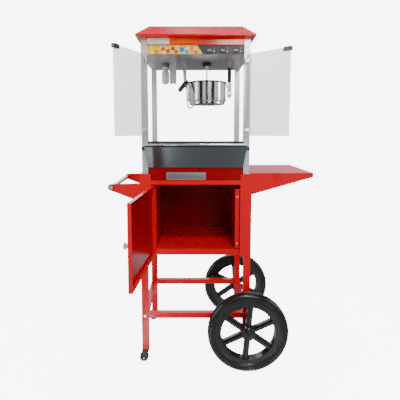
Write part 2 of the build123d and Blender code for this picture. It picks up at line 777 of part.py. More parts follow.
with BuildPart() as switch_bezels:
    for x in switch_spots:
        with BuildSketch(Plane.XZ):
            with Locations((x, switch_z)):
                RectangleRounded(switch_width + 2 * bezel_edge, switch_height + 2 * bezel_edge, 2)
                Rectangle(switch_width - 2 * bezel_wall, switch_height - 2 * bezel_wall, mode=Mode.SUBTRACT)
        extrude(amount=bezel_wall)
        with BuildSketch(Plane.XZ):
            with Locations((x, switch_z)):
                Rectangle(switch_width, switch_height)
                Rectangle(switch_width - 2 * bezel_wall, switch_height - 2 * bezel_wall, mode=Mode.SUBTRACT)
        extrude(amount=-bezel_depth)
keep("switch_bezels", switch_bezels)

rocker_tilt = 8.0
rocker_y = 4.0
rocker_half = switch_height / 2 - 3.5
for name, x in zip(("left_rocker", "middle_rocker", "right_rocker"), switch_spots):
    with BuildPart() as rocker:
        with BuildSketch(Plane.YZ.offset(x - switch_width / 2 + bezel_wall + gap / 2)):
            with BuildLine():
                Polyline((-4.5, rocker_half), (-3, 0), (-4.5, -rocker_half), (6, -rocker_half + 2),
                         (10, 0), (6, rocker_half - 2), close=True)
            make_face()
        extrude(amount=switch_width - 2 * bezel_wall - gap)
    with BuildPart() as tilted_rocker:
        add(Pos(0, rocker_y, switch_z) * Rotation(-rocker_tilt, 0, 0) * Pos(0, -rocker_y, 0) * rocker.part)
    keep(name, tilted_rocker)

roof_hem = 6.0
roof_ledge = 10.0           # inward flange under the roof, over the walls
with BuildPart() as roof_canopy:
    for inset, foot in ((0, 0), (sheet, sheet)):
        with BuildSketch(Plane.XY.offset(machine_top + foot)):
            with Locations((0, (roof_front + roof_back) / 2)):
                Rectangle(2 * (roof_half - inset), roof_back - roof_front - 2 * inset)
        with BuildSketch(Plane.XY.offset(machine_top + roof_hem)):
            with Locations((0, (roof_front + roof_back) / 2)):
                Rectangle(2 * (roof_half - inset), roof_back - roof_front - 2 * inset)
        loft(ruled=True, mode=Mode.ADD if inset == 0 else Mode.SUBTRACT)
        with BuildSketch(Plane.XY.offset(machine_top + roof_hem)):
            with Locations((0, (roof_front + roof_back) / 2)):
                Rectangle(2 * (roof_half - inset), roof_back - roof_front - 2 * inset)
        with BuildSketch(Plane.XY.offset(machine_top + roof_height - inset)):
            with Locations((0, (roof_top_front + roof_top_back) / 2)):
                Rectangle(2 * (roof_top_half - inset), roof_top_back - roof_top_front - 2 * inset)
        loft(ruled=True, mode=Mode.ADD if inset == 0 else Mode.SUBTRACT)
    with BuildSketch(Plane.XY.offset(machine_top)):
        with Locations((0, cart_depth / 2)):
            Rectangle(2 * (tray_half - roof_ledge), cart_depth - 6 * roof_ledge)
    extrude(amount=2 * sheet, mode=Mode.SUBTRACT)
keep("roof_canopy", roof_canopy)

# ---- popping unit: motor, coupling, kettle ----
motor_foot = ceiling_height + sheet
gearbox = (84.0, 62.0, 30.0)
gearbox_shift = 12.0
motor_shift = 22.0
motor_radius = 30.0
motor_length = 50.0
spindle_bore = stirrer_radius + 2.3
with BuildPart() as drive_motor:
    with BuildSketch(Plane.XY.offset(motor_foot)):
        with Locations((kettle_x + gearbox_shift, kettle_y)):
            RectangleRounded(gearbox[0], gearbox[1], 6)
        with Locations((kettle_x, kettle_y)):
            Circle(spindle_bore, mode=Mode.SUBTRACT)
    extrude(amount=gearbox[2])
    with BuildSketch(Plane.XY.offset(motor_foot + gearbox[2])):
        with Locations((kettle_x + motor_shift, kettle_y)):
            Circle(motor_radius)
    extrude(amount=motor_length)
keep("drive_motor", drive_motor)

coupling_low = ceiling_height - face_gap - cap_height
with BuildPart() as drive_coupling:
    with BuildSketch(Plane.XY.offset(coupling_low)):
        with Locations((kettle_x, kettle_y)):
            Circle(cap_radius)
    extrude(amount=cap_height)
    fillet(drive_coupling.faces().sort_by(Axis.Z)[-1].edges(), 3)
    with BuildSketch(Plane.XY.offset(coupling_low + cap_height)):
        with Locations((kettle_x, kettle_y)):
            Circle(stirrer_radius)
    extrude(amount=sheet + 20)
keep("drive_coupling", drive_coupling)

pot_round = 6.0
rim_band = 5.0
heater_step = 8.0           # heater plate inside the pot's wall
heater_thick = 9.0
heater_bolts = 6
heater_bolt = 5.0
heater_bolt_head = 4.0
heater_bolt_inset = 22.0
with BuildPart() as kettle_pot:
    with BuildSketch(Plane.XY.offset(kettle_bottom)):
        with Locations((kettle_x, kettle_y)):
            Circle(kettle_radius)
    extrude(amount=kettle_rim - kettle_bottom)
    fillet(kettle_pot.faces().sort_by(Axis.Z)[0].edges(), pot_round)
    offset(amount=-kettle_wall, openings=kettle_pot.faces().sort_by(Axis.Z)[-1])
    with BuildSketch(Plane.XY.offset(kettle_rim - rim_band)):
        with Locations((kettle_x, kettle_y)):
            Circle(kettle_radius + rim_flare)
            Circle(kettle_radius - kettle_wall, mode=Mode.SUBTRACT)
    extrude(amount=rim_band)
keep("kettle_pot", kettle_pot)

with BuildPart() as kettle_base:
    with BuildSketch(Plane.XY.offset(kettle_bottom)):
        with Locations((kettle_x, kettle_y)):
            Circle(kettle_radius - heater_step)
    extrude(amount=-heater_thick)
    with BuildSketch(Plane.XY.offset(kettle_bottom - heater_thick)):
        with Locations((kettle_x, kettle_y)):
            with PolarLocations(kettle_radius - heater_bolt_inset, heater_bolts, 30):
                RegularPolygon(heater_bolt, 6)
    extrude(amount=-heater_bolt_head)
keep("kettle_base", kettle_base)

yoke_half = 8.0
yoke_thick = 4.0
tab_thick = 2.5
eye_width = 8.0
tab_face = kettle_radius + rim_flare + tab_thick
left_eye = kettle_x - tab_face - gap
trunnion_reach = ((-1, 13.0), (1, 22.0))
with BuildPart() as kettle_yoke:
    with BuildSketch(Plane.XY.offset(kettle_rim)):
        with Locations((kettle_x, kettle_y)):
            Rectangle(2 * tab_face, 2 * yoke_half)
            Circle(stirrer_radius + running, mode=Mode.SUBTRACT)
    extrude(amount=yoke_thick)
    for side, reach in trunnion_reach:
        with BuildSketch(Plane.YZ.offset(kettle_x + side * tab_face)):
            with Locations((kettle_y, (kettle_rim + yoke_thick + pivot_height - yoke_half) / 2)):
                Rectangle(2 * yoke_half, kettle_rim + yoke_thick - pivot_height + yoke_half)
        extrude(amount=-side * tab_thick)
        with BuildSketch(Plane.YZ.offset(kettle_x + side * tab_face)):
            with Locations((kettle_y, pivot_height)):
                Circle(trunnion_radius)
        extrude(amount=side * reach)
keep("kettle_yoke", kettle_yoke)

lid_gap = 0.3
lid_height = kettle_rim + lid_gap
lid_thick = 1.2
for name, side in (("front_lid", -1), ("rear_lid", 1)):
    with BuildPart() as lid:
        with BuildSketch(Plane.XY.offset(lid_height)):
            with Locations((kettle_x, kettle_y)):
                Circle(kettle_radius)
            with Locations((kettle_x, kettle_y - side * (kettle_radius - yoke_half - face_gap))):
                Rectangle(3 * kettle_radius, 2 * kettle_radius, mode=Mode.SUBTRACT)
        extrude(amount=lid_thick)
    keep(name, lid)

blade_low = kettle_bottom + 7
blade_thick = 4.0
blade_width = 6.0
blade_clear = 12.0
boss_radius = 10.0
jaw_radius = 9.0
jaw_length = 8.0
with BuildPart() as stirrer:
    with BuildSketch(Plane.XY.offset(blade_low)):
        with Locations((kettle_x, kettle_y)):
            Circle(stirrer_radius)
    extrude(amount=coupling_low - face_gap - blade_low)
    with BuildSketch(Plane.XY.offset(coupling_low - face_gap)):
        with Locations((kettle_x, kettle_y)):
            Circle(jaw_radius)
    extrude(amount=-jaw_length)
    with BuildSketch(Plane.XY.offset(blade_low)):
        with Locations((kettle_x, kettle_y)):
            Rectangle(2 * (kettle_radius - blade_clear), blade_width)
            Circle(boss_radius)
    extrude(amount=blade_thick)
keep("stirrer", stirrer)

handle_x = kettle_x - kettle_radius - 3.5
handle_y = kettle_y - 42
rod_radius = 3.5
handle_route = [(handle_x + 70, handle_y + 15, kettle_bottom - heater_thick - rod_radius),
                (handle_x + 30, handle_y, kettle_bottom - 18),
                (handle_x + 14, handle_y, kettle_bottom - 37),
                (handle_x, handle_y, kettle_bottom - 15),
                (handle_x, handle_y, kettle_rim - 2)]
with BuildPart() as handle_rod:
    with BuildLine() as rod_line:
        FilletPolyline(*handle_route, radius=8)
    with BuildSketch(Plane(origin=rod_line.line @ 0, z_dir=rod_line.line % 0)):
        Circle(rod_radius)
    sweep()
keep("handle_rod", handle_rod)

grip_start = Vector(handle_x - 2, handle_y - 3, kettle_rim - 2)
grip_way = Vector(-34, -42, -50).normalized()
grip_length = 76.0
grip_radius = 8.0
with BuildPart() as handle_grip:
    with BuildSketch(Plane(origin=grip_start - grip_way * grip_radius, z_dir=grip_way)):
        Circle(grip_radius)
    extrude(amount=grip_length)
    fillet(handle_grip.edges(), 3)
    add(handle_rod.part, mode=Mode.SUBTRACT)
keep("handle_grip", handle_grip)

hanger_top_x = -56.0
hanger_half = 9.5
hanger_eye = 13.0
hanger_thick = 2.0
waist_low = pivot_height + 9
waist_high = pivot_height + 24
waist_left = left_eye - eye_width
with BuildPart() as left_hanger:
    with BuildSketch(Plane.YZ.offset(left_eye)):
        with Locations((kettle_y, pivot_height)):
            Circle(hanger_eye)
            Circle(trunnion_radius + running, mode=Mode.SUBTRACT)
    extrude(amount=-eye_width)
    with BuildSketch(Plane.XZ.offset(-kettle_y)):
        with BuildLine():
            Polyline((left_eye, waist_low), (left_eye, waist_high),
                     (hanger_top_x + hanger_half, ceiling_height),
                     (hanger_top_x - hanger_half, ceiling_height),
                     (waist_left - 8, waist_high), (waist_left, waist_low), close=True)
        make_face()
    extrude(amount=hanger_thick, both=True)
keep("left_hanger", left_hanger)

right_x = 163.0
sleeve_low = 1299.0
sleeve_high = 1369.0
sleeve_radius = 9.0
hanger_rod = 4.0
bracket_low = 1224.0
bracket_width = 20.0
bracket_half = 6.0
slot_height = 1248.0
with BuildPart() as right_hanger:
    with BuildSketch(Plane.XY.offset(sleeve_low - hanger_rod)):
        with Locations((right_x, kettle_y)):
            Circle(hanger_rod)
    extrude(amount=ceiling_height - sleeve_low + hanger_rod)
    with BuildSketch(Plane.XZ.offset(-kettle_y)):
        with Locations((right_x, (sleeve_low + bracket_low) / 2)):
            SlotOverall(sleeve_low - bracket_low, bracket_width, rotation=90)
        with Locations((right_x, slot_height)):
            SlotOverall(16, 4, rotation=40, mode=Mode.SUBTRACT)
    extrude(amount=bracket_half, both=True)
    with BuildSketch(Plane.YZ.offset(right_x - bracket_width)):
        with Locations((kettle_y, pivot_height)):
            Circle(trunnion_radius + running)
    extrude(amount=2 * bracket_width, mode=Mode.SUBTRACT)
keep("right_hanger", right_hanger)

with BuildPart() as hanger_sleeve:
    with BuildSketch(Plane.XY.offset(sleeve_low)):
        with Locations((right_x, kettle_y)):
            Circle(sleeve_radius)
            Circle(hanger_rod, mode=Mode.SUBTRACT)
    extrude(amount=sleeve_high - sleeve_low)
keep("hanger_sleeve", hanger_sleeve)

lamp_x = -148.0
lamp_y = 215.0
lamp_low = 1293.0
lamp_neck = 1355.0
bulb_radius = 18.0
neck_radius = 14.0
guard_left = -127.0
guard_right = -93.0
guard_front = 196.0
guard_back = 245.0
guard_thick = 2.0
with BuildPart() as lamp_guard:
    with BuildSketch(Plane.XY.offset(lamp_low)):
        with BuildLine():
            Polyline((guard_right, guard_front), (guard_right, guard_front + guard_thick),
                     (guard_left + guard_thick, guard_front + 3 * guard_thick),
                     (guard_left + guard_thick, guard_back), (guard_left, guard_back),
                     (guard_left, guard_front + 2 * guard_thick), close=True)
        make_face()
    extrude(amount=ceiling_height - lamp_low)
keep("lamp_guard", lamp_guard)

with BuildPart() as lamp_bulb:
    with BuildSketch(Plane.XY.offset(lamp_low)):
        with Locations((lamp_x, lamp_y)):
            Circle(bulb_radius)
    extrude(amount=lamp_neck - lamp_low)
    fillet(lamp_bulb.faces().sort_by(Axis.Z)[0].edges(), 15)
    with BuildSketch(Plane.XY.offset(lamp_neck)):
        with Locations((lamp_x, lamp_y)):
            Circle(neck_radius)
    extrude(amount=ceiling_height - lamp_neck)
keep("lamp_bulb", lamp_bulb)

# ---- glass doors, drawn shut and then swung to where they rest ----
glass_y = -8.0
glass_thick = 5.0
glass_middle = (glass_top + glass_bottom) / 2
clamp_spots = (glass_bottom + 26, glass_top - 26)
clamp_height = 14.0
pin_radius = 3.0
clamp_radius = 5.5
clamp_width = 9.0
clip_width = 34.0
clip_height = 16.0
clip_half = 6.5
hinge_leaf = 14.0
hinge_margin = 20.0
for side, angle, glass_name, clip_name in ((-1, -left_glass_angle, "left_glass", "left_clips"),
                                           (1, right_glass_angle, "right_glass", "right_clips")):
    pivot = Location((side * glass_hinge_x, glass_y, 0))
    pane_middle = side * (glass_hinge_x - glass_edge - glass_width / 2)
    with BuildPart() as shut_glass:
        with BuildSketch(Plane.XZ.offset(-glass_y - glass_thick / 2)):
            with Locations((pane_middle, glass_middle)):
                RectangleRounded(glass_width, glass_top - glass_bottom, 3)
        extrude(amount=glass_thick)
    with BuildPart() as shut_clips:
        for z in clamp_spots:
            with BuildSketch(Plane.XY.offset(z - clamp_height / 2)):
                with Locations((side * glass_hinge_x, glass_y)):
                    Circle(clamp_radius)
                with Locations((side * (glass_hinge_x - 13), glass_y)):
                    Rectangle(24, clamp_width)
                    Rectangle(40, glass_thick, mode=Mode.SUBTRACT)
                with Locations((side * (glass_hinge_x - 2), glass_y)):
                    Rectangle(clamp_radius, clamp_width)
                with Locations((side * glass_hinge_x, glass_y)):
                    Circle(pin_radius + running, mode=Mode.SUBTRACT)
            extrude(amount=clamp_height)
        with BuildSketch(Plane.XZ.offset(-glass_y - clip_half)):
            with Locations((side * (glass_hinge_x - glass_edge - glass_width + 12), glass_top - 5)):
                RectangleRounded(clip_width, clip_height, 2)
        extrude(amount=2 * clip_half)
        with BuildSketch(Plane.XZ.offset(-glass_y - glass_thick / 2)):
            with Locations((pane_middle, glass_middle)):
                RectangleRounded(glass_width, glass_top - glass_bottom, 3)
        extrude(amount=glass_thick, mode=Mode.SUBTRACT)
    with BuildPart() as open_glass:
        add(swung(shut_glass.part, pivot, angle))
    with BuildPart() as open_clips:
        add(swung(shut_clips.part, pivot, angle))
    keep(glass_name, open_glass)
    keep(clip_name, open_clips)

with BuildPart() as glass_hinges:
    for side in (-1, 1):
        for z in clamp_spots:
            for reach in (-1, 1):
                with BuildSketch(Plane.XY.offset(z + reach * (clamp_height + 1) / 2)):
                    with Locations((side * glass_hinge_x, glass_y)):
                        Circle(clamp_radius)
                    with Locations((side * (glass_hinge_x + 4), glass_y / 2)):
                        Rectangle(8, -glass_y)
                extrude(amount=reach * 3)
            with BuildSketch(Plane.XY.offset(z - clamp_height / 2 - 1)):
                with Locations((side * glass_hinge_x, glass_y)):
                    Circle(pin_radius)
            extrude(amount=clamp_height + 2)
            with BuildSketch(Plane.XZ):
                with Locations((side * (glass_hinge_x + 5), z)):
                    Rectangle(hinge_leaf, clamp_height + hinge_margin)
            extrude(amount=sheet)
keep("glass_hinges", glass_hinges)

# ---- the row's origin is under the middle of the whole cart ----
whole = Compound([piece.part for piece in pieces.values()]).bounding_box()
row_shift = (-(whole.min.X + whole.max.X) / 2, -(whole.min.Y + whole.max.Y) / 2, -whole.min.Z)
to_origin = Location(row_shift)

if __name__ == "__main__":
    os.makedirs("parts", exist_ok=True)
    for name, piece in pieces.items():
        placed = to_origin * piece.part
        placed.label = name
        export_step(placed, f"parts/{name}.step")
    print("pieces", len(pieces), "shift", [round(value, 3) for value in row_shift])
    print("size", [round(value, 1) for value in whole.size])
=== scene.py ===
import bpy
import bmesh
import math
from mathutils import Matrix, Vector


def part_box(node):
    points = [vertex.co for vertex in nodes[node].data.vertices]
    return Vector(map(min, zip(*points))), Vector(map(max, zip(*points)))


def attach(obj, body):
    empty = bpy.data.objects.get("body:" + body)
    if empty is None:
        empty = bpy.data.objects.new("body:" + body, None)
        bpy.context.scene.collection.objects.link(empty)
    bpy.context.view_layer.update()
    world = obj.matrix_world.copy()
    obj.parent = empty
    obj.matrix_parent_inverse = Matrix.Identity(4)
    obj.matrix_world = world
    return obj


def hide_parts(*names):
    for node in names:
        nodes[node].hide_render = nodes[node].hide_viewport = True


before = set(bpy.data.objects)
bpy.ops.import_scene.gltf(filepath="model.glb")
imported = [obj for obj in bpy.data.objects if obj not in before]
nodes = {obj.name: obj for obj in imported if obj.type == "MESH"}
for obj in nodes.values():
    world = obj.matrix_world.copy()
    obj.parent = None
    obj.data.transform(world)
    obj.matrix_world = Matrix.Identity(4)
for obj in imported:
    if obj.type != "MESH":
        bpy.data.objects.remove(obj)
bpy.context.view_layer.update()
legsLow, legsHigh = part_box("frame_legs")
midX = (legsLow.x + legsHigh.x) / 2
frontY = legsLow.y
mm = 0.001
alongY = (0, 1, 0)


# a point given in millimetres from the cart's centre line, its front legs and the floor
def place(x, y, z):
    return Vector((midX + x * mm, frontY + y * mm, z * mm))


# camera, floor and light
cameraView = {"back": -1531, "height": 1060, "pitch": 5, "lens": 31.5, "shiftX": 0.01075, "shiftY": -0.0935}
cameraData = bpy.data.cameras.new("studioCamera")
camera = bpy.data.objects.new("studioCamera", cameraData)
bpy.context.scene.collection.objects.link(camera)
bpy.context.scene.camera = camera
camera.location = place(0, cameraView["back"], cameraView["height"])
camera.rotation_euler = (math.radians(90 - cameraView["pitch"]), 0, 0)
cameraData.lens = cameraView["lens"]
cameraData.sensor_width = 36
cameraData.shift_x = cameraView["shiftX"]
cameraData.shift_y = cameraView["shiftY"]
cameraData.clip_end = 60


def deselectAll():
    if bpy.context.object and bpy.context.object.mode != "OBJECT":
        bpy.ops.object.mode_set(mode="OBJECT")
    bpy.ops.object.select_all(action="DESELECT")


def addLight(name, spot, aim, size, power, gleam=0.3):
    data = bpy.data.lights.new(name, "AREA")
    data.shape = "RECTANGLE"
    data.size, data.size_y = size
    data.energy = power
    data.specular_factor = gleam
    lamp = bpy.data.objects.new(name, data)
    lamp.location = spot
    lamp.rotation_euler = (Vector(aim) - Vector(spot)).to_track_quat("-Z", "Y").to_euler()
    bpy.context.scene.collection.objects.link(lamp)


# place, aim and size in metres, power in watts, and how brightly it shows in gloss
lamps = {
    "frontSoftbox": ((0.9, -3.4, 2.6), (0, 0, 0.7), (1.4, 1.4), 50),
    "keyLamp": ((0.3, -1.75, 3.3), (0, 0.1, 0.6), (0.35, 0.35), 46),
    "leftSoftbox": ((-3.0, -1.2, 1.5), (0, 0, 0.9), (0.7, 2.2), 40, 1.6),
    "rightSoftbox": ((3.2, -0.6, 1.7), (0, 0, 0.8), (0.7, 2.2), 36, 1.6),
    "topSoftbox": ((0.2, 0.4, 3.8), (0, 0, 0.8), (2.0, 2.0), 62),
    "floorBounce": ((0, -0.4, -0.7), (0, -0.4, 1), (3.0, 3.0), 17, 0.8),
    "lowStrip": ((-0.40, -1.35, -0.3), (-0.40, -1.35, 1), (0.07, 1.4), 5, 6.0),
    "backSoftbox": ((-0.4, 3.4, 2.4), (0, 0, 0.9), (2.4, 1.6), 44),
}
for name, settings in lamps.items():
    addLight(name, *settings)

# a white studio with dark curtains hung round it, which give the polished metal its streaks
studio = {
    "scale": 0.55, "distortion": 1.4, "detail": 2,
    "dark": (0.42, (0.012, 0.011, 0.010, 1)), "pale": (0.60, (0.78, 0.78, 0.80, 1)),
    "wallRadius": 16, "floorSize": 22, "floorDrop": 0.0005,
}
world = bpy.data.worlds.new("paleStudio")
world.use_nodes = True
walls = world.node_tree
backdrop = walls.nodes["Background"]
way = walls.nodes.new("ShaderNodeTexCoord")
curtains = walls.nodes.new("ShaderNodeTexWave")
curtains.bands_direction = "X"
curtains.inputs["Scale"].default_value = studio["scale"]
curtains.inputs["Distortion"].default_value = studio["distortion"]
curtains.inputs["Detail"].default_value = studio["detail"]
tone = walls.nodes.new("ShaderNodeValToRGB")
for element, shade in zip(tone.color_ramp.elements, ("dark", "pale")):
    element.position, element.color = studio[shade]
walls.links.new(way.outputs["Generated"], curtains.inputs["Vector"])
walls.links.new(curtains.outputs["Fac"], tone.inputs["Fac"])
walls.links.new(tone.outputs["Color"], backdrop.inputs["Color"])
bpy.context.scene.world = world

deselectAll()
bpy.ops.mesh.primitive_uv_sphere_add(segments=48, ring_count=24, radius=studio["wallRadius"], location=(0, 0, 0))
wall = bpy.context.object
wall.name = "studioWall"
deselectAll()
bpy.ops.mesh.primitive_plane_add(size=studio["floorSize"], location=(0, 0, -studio["floorDrop"]))
floor = bpy.context.object
floor.name = "studioFloor"
# the paper is a plain background: it does not light the cart, the lamps and the studio walls do
for paper in (wall, floor):
    paper.visible_diffuse = False
    paper.visible_glossy = False
    paper.visible_transmission = False
    paper.visible_shadow = False
print("camera, floor and lights are set")


# shader maths: a socket that takes part in Python expressions
class Wire:
    def __init__(self, sheet, socket):
        self.sheet = sheet
        self.socket = socket

    def _math(self, operation, *values):
        return self.sheet.node("ShaderNodeMath", {"operation": operation}, dict(enumerate(values)))

    def __add__(self, other): return self._math("ADD", self, other)

    def __radd__(self, other): return self._math("ADD", other, self)

    def __sub__(self, other): return self._math("SUBTRACT", self, other)

    def __rsub__(self, other): return self._math("SUBTRACT", other, self)

    def __mul__(self, other): return self._math("MULTIPLY", self, other)

    def __rmul__(self, other): return self._math("MULTIPLY", other, self)

    def __gt__(self, other): return self._math("GREATER_THAN", self, other)

    def __lt__(self, other): return self._math("LESS_THAN", self, other)


# one material and its node tree
class Finish:
    def __init__(self, name, **shader):
        self.material = bpy.data.materials.new(name)
        self.material.use_nodes = True
        self.tree = self.material.node_tree
        self.shader = self.tree.nodes["Principled BSDF"]
        self.set(**shader)

    def set(self, **values):
        for key, value in values.items():
            self.plug(self.shader.inputs[key.replace("_", " ")], value)

    def plug(self, socket, value):
        if isinstance(value, Wire):
            self.tree.links.new(value.socket, socket)
        elif isinstance(value, tuple) and len(value) == 3 and socket.type == "RGBA":
            socket.default_value = (*value, 1)
        else:
            socket.default_value = value

    def node(self, kind, settings=None, values=None, out=0):
        made = self.tree.nodes.new(kind)
        for key, value in (settings or {}).items():
            if key == "stops":
                ramp = made.color_ramp
                while len(ramp.elements) < len(value):
                    ramp.elements.new(0.5)
                for element, (spot, tint) in zip(ramp.elements, value):
                    element.position = spot
                    element.color = (*tint, 1) if isinstance(tint, tuple) else (tint, tint, tint, 1)
            else:
                setattr(made, key, value)
        for key, value in (values or {}).items():
            self.plug(made.inputs[key], value)
        return Wire(self, made.outputs[out])

    def position(self, stretch=(1, 1, 1)):
        spot = self.node("ShaderNodeTexCoord", out="Object")
        return self.node("ShaderNodeMapping", None, {"Vector": spot, "Scale": stretch})

    def axes(self):
        spot = self.node("ShaderNodeTexCoord", out="Object")
        return [self.node("ShaderNodeSeparateXYZ", None, {"Vector": spot}, out=k) for k in range(3)]

    def noise(self, scale, detail=3, stretch=(1, 1, 1), roughness=0.5):
        values = {"Vector": self.position(stretch), "Scale": scale, "Detail": detail, "Roughness": roughness}
        return self.node("ShaderNodeTexNoise", None, values)

    def bump(self, height, strength=0.2, distance=0.001):
        values = {"Height": height, "Strength": strength, "Distance": distance}
        self.set(Normal=self.node("ShaderNodeBump", None, values))

    def mix(self, factor, first, second):
        return self.node("ShaderNodeMix", {"data_type": "RGBA"}, {0: factor, 6: first, 7: second}, out=2)

    def ramp(self, factor, *stops):
        return self.node("ShaderNodeValToRGB", {"stops": stops}, {0: factor})


# corners of the space inside the cabinet, in millimetres, where the red is painted darker as painted shade
cabinetInside = {"low": (-246.9, 17, 0), "high": (246.9, 393.5, 829)}


# gloss powder coat: slight orange peel and faint clouding of colour
def redPaint(name="redPaint", low=(0.58, 0.0, 0.006), high=(0.68, 0.0, 0.008), shaded=""):
    look = Finish(name, Metallic=0.0, Coat_Weight=0.08, Coat_Roughness=0.05, Specular_IOR_Level=0.22)
    cloud = look.noise(3.5, 2)
    tint = look.mix(cloud, low, high)
    if shaded == "leaf":
        # painted shade: the inner face of the door is painted a darker red
        turned = look.node("ShaderNodeTexCoord", out="Normal")
        across = look.node("ShaderNodeSeparateXYZ", None, {"Vector": turned}, out=0)
        tint = look.mix(across > 0.6, tint, (0.24, 0.0, 0.002))
    if shaded == "cabinet":
        # painted shade: the red inside the cabinet is painted darker
        x, y, z = look.axes()
        near, far = place(*cabinetInside["low"]), place(*cabinetInside["high"])
        inside = (x > near.x) * (x < far.x) * (y > near.y) * (y < far.y) * (z < far.z)
        tint = look.mix(inside, tint, (0.26, 0.0, 0.002))
    look.set(Base_Color=tint)
    look.set(Roughness=0.20 + look.noise(22, 4) * 0.12)
    look.bump(look.noise(170, 2), 0.03, 0.0003)
    return look.material


# stainless sheet with a one-way grain and faint finger marks
def brushedSteel(name, shade, rough, along=(1, 1, 60), grain=1.0, metal=1.0):
    look = Finish(name, Metallic=metal)
    lines = look.noise(90, 3, along)
    marks = look.noise(7, 3)
    tint = tuple(min(1, c * 1.12) for c in shade)
    look.set(Base_Color=look.mix(lines, tuple(c * 0.88 for c in shade), tint))
    look.set(Roughness=rough + lines * 0.10 * grain + marks * 0.08)
    look.bump(lines, 0.05 * grain, 0.0004)
    return look.material


def polishedSteel():
    look = Finish("polishedSteel", Metallic=1.0)
    smear = look.noise(9, 4, (1, 1, 0.35))
    look.set(Base_Color=look.mix(smear, (0.62, 0.60, 0.58), (0.86, 0.85, 0.84)))
    look.set(Roughness=0.07 + smear * 0.12)
    look.bump(look.noise(60, 2), 0.04, 0.0005)
    return look.material


# moulded plastic: fine spark-eroded grain and a small change of gloss
def mouldedPlastic(name, shade, rough, grain=260, strength=0.12, coat=0.0):
    look = Finish(name, Coat_Weight=coat, Coat_Roughness=0.2)
    wear = look.noise(14, 4)
    look.set(Base_Color=look.mix(wear, tuple(c * 0.8 for c in shade), tuple(c * 1.25 for c in shade)))
    look.set(Roughness=rough + wear * 0.12)
    look.bump(look.noise(grain, 3), strength, 0.0005)
    return look.material


def tyreRubber():
    look = Finish("tyreRubber", Specular_IOR_Level=0.45)
    dust = look.noise(11, 5)
    look.set(Base_Color=look.mix(dust, (0.003, 0.003, 0.0033), (0.010, 0.010, 0.011)))
    look.set(Roughness=0.20 + dust * 0.14)
    look.bump(look.noise(340, 3), 0.10, 0.0005)
    return look.material


# thin glass as a see-through sheet: a glossy surface with little body
def clearGlass(name, tint, alpha, rough, haze):
    look = Finish(name, Specular_IOR_Level=0.6, IOR=1.45)
    marks = look.noise(5, 4)
    look.set(Base_Color=look.mix(marks, tint, tuple(min(1, c * 1.04) for c in tint)))
    look.set(Roughness=rough + marks * 0.05)
    look.set(Alpha=alpha + marks * haze)
    return look.material


# red acrylic in front of the lamp, with a painted glow: faint emission, and painted orange highlights in patches
# where the light gathers
def bandAcrylic():
    look = Finish("bandAcrylic", Coat_Weight=0.5, Coat_Roughness=0.03)
    glow = look.noise(5, 1, (1, 0.2, 3.5))
    tint = look.ramp(glow, (0.40, (0.42, 0.003, 0.001)), (0.55, (0.70, 0.03, 0.002)), (0.70, (0.90, 0.20, 0.01)))
    look.set(Base_Color=tint, Emission_Color=tint, Roughness=0.12 + glow * 0.08)
    look.shader.inputs["Emission Strength"].default_value = 0.3
    return look.material


def frostedBulb():
    look = Finish("frostedBulb")
    film = look.noise(24, 3)
    look.set(Base_Color=look.mix(film, (0.70, 0.66, 0.58), (0.82, 0.78, 0.70)), Roughness=0.3 + film * 0.1)
    return look.material


# cups on the snack print: across, up and radius in millimetres, then colour
cups = (
    (-168, 1400, 8, (0.80, 0.16, 0.01)), (-140, 1412, 9, (0.80, 0.05, 0.01)),
    (-118, 1404, 10, (0.78, 0.02, 0.02)), (-98, 1414, 8, (0.55, 0.0, 0.03)),
    (-84, 1402, 9, (0.70, 0.02, 0.06)), (-60, 1410, 11, (0.02, 0.16, 0.62)),
    (-38, 1401, 9, (0.02, 0.30, 0.70)), (-16, 1412, 8, (0.84, 0.20, 0.01)),
    (0, 1400, 7, (0.75, 0.03, 0.02)),
)


# snack print without words: yellow ground, white puffs and round coloured cups
def stripPrint():
    look = Finish("stripPrint", Coat_Weight=0.3, Coat_Roughness=0.1)
    x, y, z = look.axes()
    ground = look.mix(look.noise(60, 2), (0.80, 0.50, 0.0), (0.92, 0.66, 0.01))
    puffs = look.node("ShaderNodeTexVoronoi", None, {"Vector": look.position((1, 0.05, 1)), "Scale": 52})
    tint = look.mix(look.ramp(puffs, (0.30, 1.0), (0.36, 0.0)), ground, (0.93, 0.88, 0.72))
    for across, up, radius, shade in cups:
        spot = place(across, 0, up)
        right = x - spot.x
        rise = z - spot.z
        tint = look.mix(right * right + rise * rise < (radius * mm) ** 2, tint, shade)
    look.set(Base_Color=tint, Roughness=0.22 + look.noise(30, 2) * 0.06)
    return look.material


# height from which the clips on the glass are black, in millimetres
blackClipsFrom = 1373.5


# black corner clips at the top of each glass, bright clamps at its hinges
def clipFinish():
    look = Finish("clipFinish")
    z = look.axes()[2]
    top = z > place(0, 0, blackClipsFrom).z
    grain = look.noise(180, 2)
    look.set(Base_Color=look.mix(top, (0.70, 0.71, 0.72), (0.014, 0.014, 0.015)), Metallic=1 - top)
    look.set(Roughness=0.24 + grain * 0.1)
    return look.material


def floorPaper():
    look = Finish("floorPaper")
    fibre = look.noise(40, 2)
    look.set(Base_Color=look.mix(fibre, (0.93, 0.93, 0.93), (0.96, 0.96, 0.96)), Roughness=0.7 + fibre * 0.1)
    look.set(Emission_Color=(1.0, 1.0, 1.0), Emission_Strength=7.0)
    return look.material


